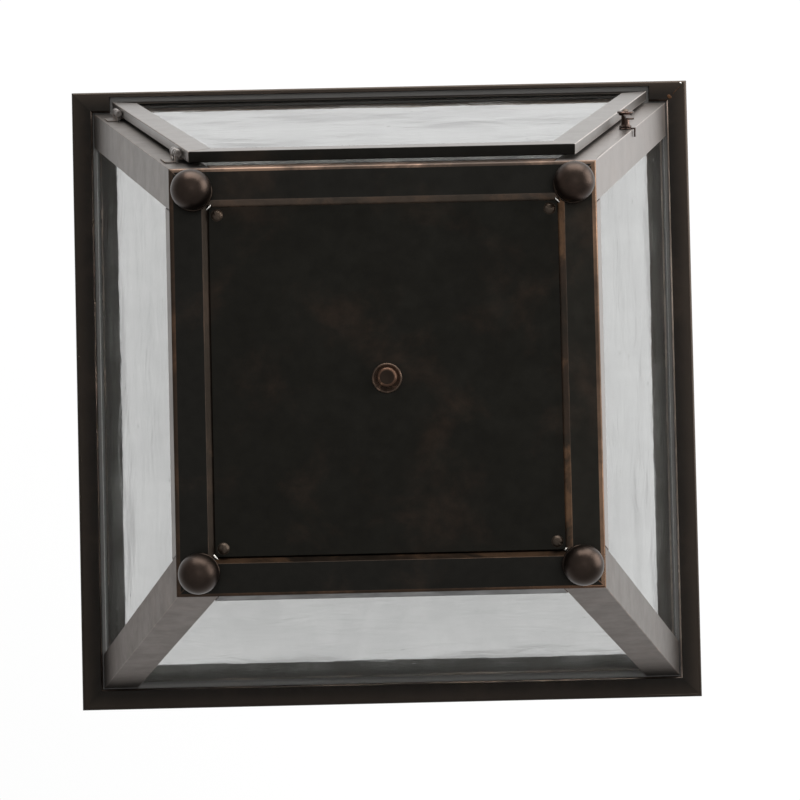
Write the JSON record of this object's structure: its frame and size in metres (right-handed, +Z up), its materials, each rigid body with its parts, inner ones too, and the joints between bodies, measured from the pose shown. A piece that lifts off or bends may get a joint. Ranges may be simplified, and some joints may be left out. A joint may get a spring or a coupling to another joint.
{
  "type": "porch ceiling lantern",
  "caption": "Square tapered flush-mount porch lantern with dark bronze frame, seedy glass panes, hinged glass door with latch, lamp cluster, ball feet and finial.",
  "frame": {"origin": "centre of the ceiling face, between the crossbar's outlet-box slots", "axes": "+Z up out of the ceiling face, the door faces -Y, its hinges are on the -X side"},
  "size_m": [0.356, 0.356, 0.2947],
  "materials": {
    "dark_bronze": "dark oil-rubbed bronze, satin, copper showing on worn edges",
    "satin_bronze": "oil-rubbed bronze, smoother and lighter, satin",
    "rubbed_copper": "bronze rubbed back to copper on its high points",
    "seedy_glass": "clear wavy glass with small seeds",
    "zinc_steel": "zinc plated, dull",
    "green_screw": "green, for the earth lead",
    "brass": "plain brass",
    "phenolic": "black moulded insulator"
  },
  "bodies": {
    "lantern": {"rim_front": "dark_bronze", "rim_right": "dark_bronze", "rim_back": "dark_bronze", "rim_left": "dark_bronze", "ceiling_deck": "dark_bronze", "crossbar": "zinc_steel", "crossbar_screws": "zinc_steel", "cap_nuts": "satin_bronze", "ground_screw": "green_screw", "lamp_stem": "brass", "stem_nuts": "brass", "lamp_plate": "zinc_steel", "lampholder_1": "phenolic", "lampholder_2": "phenolic", "lampholder_3": "phenolic", "lampholder_4": "phenolic", "screw_shells": "brass", "centre_contacts": "brass", "lampholder_nuts": "brass", "post_front_right": "satin_bronze", "post_back_right": "satin_bronze", "post_back_left": "satin_bronze", "post_front_left": "satin_bronze", "glass_right": "seedy_glass", "glass_back": "seedy_glass", "glass_left": "seedy_glass", "glass_clips": "zinc_steel", "bottom_rail_front": "dark_bronze", "bottom_rail_right": "dark_bronze", "bottom_rail_back": "dark_bronze", "bottom_rail_left": "dark_bronze", "bottom_panel": "dark_bronze", "panel_screws": "rubbed_copper", "ball_foot_front_right": "dark_bronze", "ball_foot_back_right": "dark_bronze", "ball_foot_back_left": "dark_bronze", "ball_foot_front_left": "dark_bronze", "foot_collars": "rubbed_copper", "foot_nuts": "zinc_steel", "finial": "rubbed_copper", "finial_rosette": "rubbed_copper", "finial_nut": "zinc_steel", "hinge_post_leaf_low": "satin_bronze", "hinge_post_leaf_high": "satin_bronze", "hinge_pins": "satin_bronze", "latch_pivot_screw": "rubbed_copper", "latch_spring_clip": "dark_bronze"},
    "door": {"door_hinge_stile": "satin_bronze", "door_latch_stile": "satin_bronze", "door_top_rail": "satin_bronze", "door_bottom_rail": "satin_bronze", "door_glass": "seedy_glass", "door_glass_clips": "zinc_steel", "hinge_door_leaf_low": "satin_bronze", "hinge_door_leaf_high": "satin_bronze"},
    "latch": {"latch_knob": "dark_bronze", "latch_arm": "rubbed_copper"}
  },
  "joints": [
    {"name": "door_swing", "type": "hinge", "parent": "lantern", "child": "door", "pos_m": [-0.099, -0.11181, -0.24705], "axis": [0.244, 0.244, -0.9386], "range_deg": [0, 100]},
    {"name": "latch_turn", "type": "hinge", "parent": "lantern", "child": "latch", "pos_m": [0.12795, -0.13208, -0.15163], "axis": [0, 0.9678, 0.2516], "range_deg": [-90, 95]}
  ]
}
